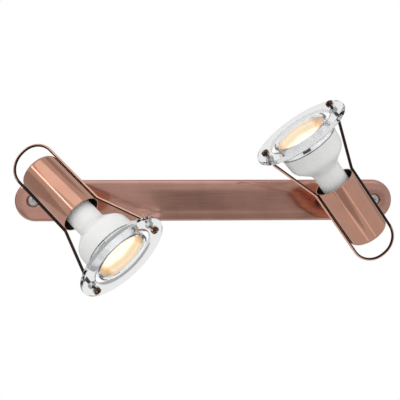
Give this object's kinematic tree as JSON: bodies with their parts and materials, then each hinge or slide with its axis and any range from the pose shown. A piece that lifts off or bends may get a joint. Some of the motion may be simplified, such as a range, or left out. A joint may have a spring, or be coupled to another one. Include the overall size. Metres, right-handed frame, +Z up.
{
  "type": "pivoting spotlight wall light",
  "caption": "Stadium wall plate with swivelling, tilting spotlight heads; each cup holds a reflector lamp and a bent rod loop that carries a flat glass ring.",
  "frame": {"origin": "centre of the wall bracket's back face, on the wall", "axes": "+X along the plate, +Y into the wall, +Z up; the heads stand out towards -Y"},
  "size_m": [0.35, 0.1533, 0.1593],
  "materials": {
    "plate_copper": "brushed antique copper plating, satin lacquer, lengthwise grain",
    "cup_copper": "brushed antique copper plating, satin lacquer",
    "rod_copper": "antique copper plating, glossy",
    "nut_copper": "dark antique copper plating, glossy",
    "knuckle_copper": "turned, antique copper plating",
    "zinc_steel": "bright zinc plated",
    "bright_screw": "bright nickel plated",
    "brass_part": "turned brass",
    "nylon": "natural nylon",
    "lead_sleeve": "white silicone sleeve",
    "ceramic_holder": "unglazed steatite",
    "lamp_white": "white moulded plastic, satin",
    "lamp_clear": "clear moulded plastic",
    "lamp_front": "clear front glass, lightly frosted",
    "reflector": "bright metallised",
    "glow": "white coated burner",
    "ring_glass": "clear, polished edges",
    "washer_clear": "clear nylon"
  },
  "bodies": {
    "plate": {"cover_pan": "plate_copper", "wall_bracket": "zinc_steel", "cover_screws": "bright_screw", "terminal_block": "nylon", "terminal_tubes": "brass_part", "terminal_screws": "zinc_steel", "block_screw": "zinc_steel", "earth_screw": "brass_part", "left_lead": "lead_sleeve", "right_lead": "lead_sleeve", "left_friction_washer": "nylon", "right_friction_washer": "nylon"},
    "left_swivel": {"left_swivel_stem": "knuckle_copper", "left_stop_washer": "zinc_steel", "left_stem_nut": "zinc_steel", "left_knuckle_fork": "knuckle_copper", "left_tilt_screw": "bright_screw", "left_tilt_nut": "zinc_steel", "left_tilt_washers": "nylon"},
    "left_head": {"left_head_arm": "knuckle_copper", "left_arm_nut": "zinc_steel", "left_lamp_cup": "cup_copper", "left_lampholder": "ceramic_holder", "left_holder_bracket": "zinc_steel", "left_holder_screws": "zinc_steel", "left_lamp_body": "lamp_white", "left_lamp_pins": "brass_part", "left_lamp_collar": "lamp_clear", "left_lamp_lens": "lamp_front", "left_lamp_reflector": "reflector", "left_lamp_tube": "glow", "left_wire_loop": "rod_copper", "left_glass_ring": "ring_glass", "left_ring_washers": "washer_clear", "left_rear_nuts": "nut_copper", "left_front_nuts": "nut_copper"},
    "right_swivel": {"right_swivel_stem": "knuckle_copper", "right_stop_washer": "zinc_steel", "right_stem_nut": "zinc_steel", "right_knuckle_fork": "knuckle_copper", "right_tilt_screw": "bright_screw", "right_tilt_nut": "zinc_steel", "right_tilt_washers": "nylon"},
    "right_head": {"right_head_arm": "knuckle_copper", "right_arm_nut": "zinc_steel", "right_lamp_cup": "cup_copper", "right_lampholder": "ceramic_holder", "right_holder_bracket": "zinc_steel", "right_holder_screws": "zinc_steel", "right_lamp_body": "lamp_white", "right_lamp_pins": "brass_part", "right_lamp_collar": "lamp_clear", "right_lamp_lens": "lamp_front", "right_lamp_reflector": "reflector", "right_lamp_tube": "glow", "right_wire_loop": "rod_copper", "right_glass_ring": "ring_glass", "right_ring_washers": "washer_clear", "right_rear_nuts": "nut_copper", "right_front_nuts": "nut_copper"}
  },
  "joints": [
    {"name": "left_swivel_turn", "type": "hinge", "parent": "plate", "child": "left_swivel", "pos_m": [-0.116, -0.0244, 0], "axis": [0, -1, 0], "range_deg": [-159.3, 156.7]},
    {"name": "left_tilt", "type": "hinge", "parent": "left_swivel", "child": "left_head", "pos_m": [-0.116, -0.0488, 0], "axis": [-0.6909, 0, -0.723], "range_deg": [-34.2, 30.8]},
    {"name": "right_swivel_turn", "type": "hinge", "parent": "plate", "child": "right_swivel", "pos_m": [0.116, -0.0244, 0], "axis": [0, -1, 0], "range_deg": [-150.4, 165.6]},
    {"name": "right_tilt", "type": "hinge", "parent": "right_swivel", "child": "right_head", "pos_m": [0.116, -0.0488, 0], "axis": [0.7944, 0, 0.6074], "range_deg": [-24.3, 40.7]}
  ]
}
